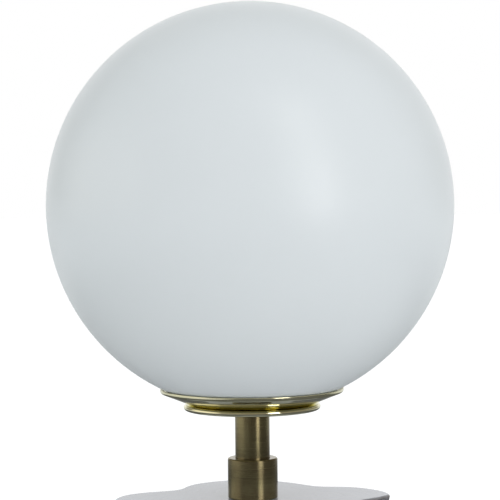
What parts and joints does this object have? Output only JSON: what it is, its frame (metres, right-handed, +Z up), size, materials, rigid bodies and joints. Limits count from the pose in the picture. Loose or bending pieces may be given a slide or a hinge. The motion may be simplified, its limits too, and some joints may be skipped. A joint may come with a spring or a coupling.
{
  "type": "globe table lamp",
  "caption": "Table lamp: an opal glass globe rests in a round brass gallery pan on a short stepped metal stem, over a lobed polished stone slab.",
  "frame": {"origin": "on the lamp's axis, on the surface that its rubber feet stand on", "axes": "+Z up along the stem; +Y to the rear, where the cord gland is; the pictured side faces -Y; +X to the right"},
  "size_m": [0.2, 0.1998, 0.2749],
  "materials": {
    "polished_stone": "polished top, natural edge",
    "opal_glass": "satin opal, white",
    "polished_brass": "polished and lacquered",
    "brushed_bronze": "antique bronze, brushed round",
    "turned_brass": "turned",
    "zinc_steel": "zinc plated",
    "spring_steel": "spring temper, bright",
    "cover_steel": "matt black powder coat",
    "foot_rubber": "matt",
    "clear_silicone": "translucent, soft",
    "black_plastic": "fine grained",
    "natural_plastic": "natural nylon",
    "holder_plastic": "thermoset, satin",
    "white_ceramic": "unglazed",
    "brown_lead": "silicone sleeve",
    "blue_lead": "silicone sleeve",
    "bulb_white": "opal diffuser, satin",
    "bulb_plastic": "white, satin",
    "board_aluminium": "white lacquered board",
    "nickel_cap": "nickel plated",
    "black_insulator": "vitreous black",
    "tip_metal": "tinned"
  },
  "bodies": {
    "base": {"stone_slab": "polished_stone", "cover_inserts": "turned_brass", "base_cover": "cover_steel", "base_cover_screws": "zinc_steel", "rubber_foot_1": "foot_rubber", "rubber_foot_2": "foot_rubber", "rubber_foot_3": "foot_rubber", "rubber_foot_4": "foot_rubber", "cord_gland": "black_plastic", "gland_nut": "black_plastic", "terminal_block": "natural_plastic", "terminal_block_screws": "zinc_steel", "base_washer": "zinc_steel", "lock_washer": "zinc_steel", "base_nut": "zinc_steel", "threaded_rod": "zinc_steel", "collar_sleeve": "brushed_bronze", "stem_tube": "brushed_bronze", "stem_bush_lower": "turned_brass", "stem_bush_upper": "turned_brass", "gallery_plate": "polished_brass", "gallery_pan": "polished_brass", "globe_seat_ring": "clear_silicone", "spring_clip_1": "spring_steel", "spring_clip_2": "spring_steel", "spring_clip_3": "spring_steel", "clip_rivets": "turned_brass", "gallery_washer": "zinc_steel", "gallery_nut": "turned_brass", "holder_cap": "holder_plastic", "holder_core": "white_ceramic", "holder_shell": "holder_plastic", "screw_shell": "turned_brass", "centre_contact": "turned_brass", "side_contact": "turned_brass", "holder_terminal_screws": "zinc_steel", "lead_live": "brown_lead", "lead_neutral": "blue_lead"},
    "globe": {"glass_globe": "opal_glass"},
    "bulb_contact": {"bulb_tip": "tip_metal"},
    "bulb": {"bulb_diffuser": "bulb_white", "bulb_housing": "bulb_plastic", "bulb_led_board": "board_aluminium", "bulb_screw_cap": "nickel_cap", "bulb_insulator": "black_insulator"}
  },
  "joints": [
    {"name": "globe_lift", "type": "slide", "parent": "base", "child": "globe", "axis": [0, 0, 1], "range_m": [0, 0.17]},
    {"name": "bulb_rise", "type": "slide", "parent": "base", "child": "bulb_contact", "axis": [0, 0, 1], "range_m": [0, 0.01814]},
    {"name": "bulb_turn", "type": "hinge", "parent": "bulb_contact", "child": "bulb", "pos_m": [0, 0, 0.1145], "axis": [0, 0, 1], "range_deg": [0, 1800]}
  ],
  "couplings": [
    {"joint": "bulb_rise", "follows": "bulb_turn", "m_per_rad": 0.00057751}
  ]
}
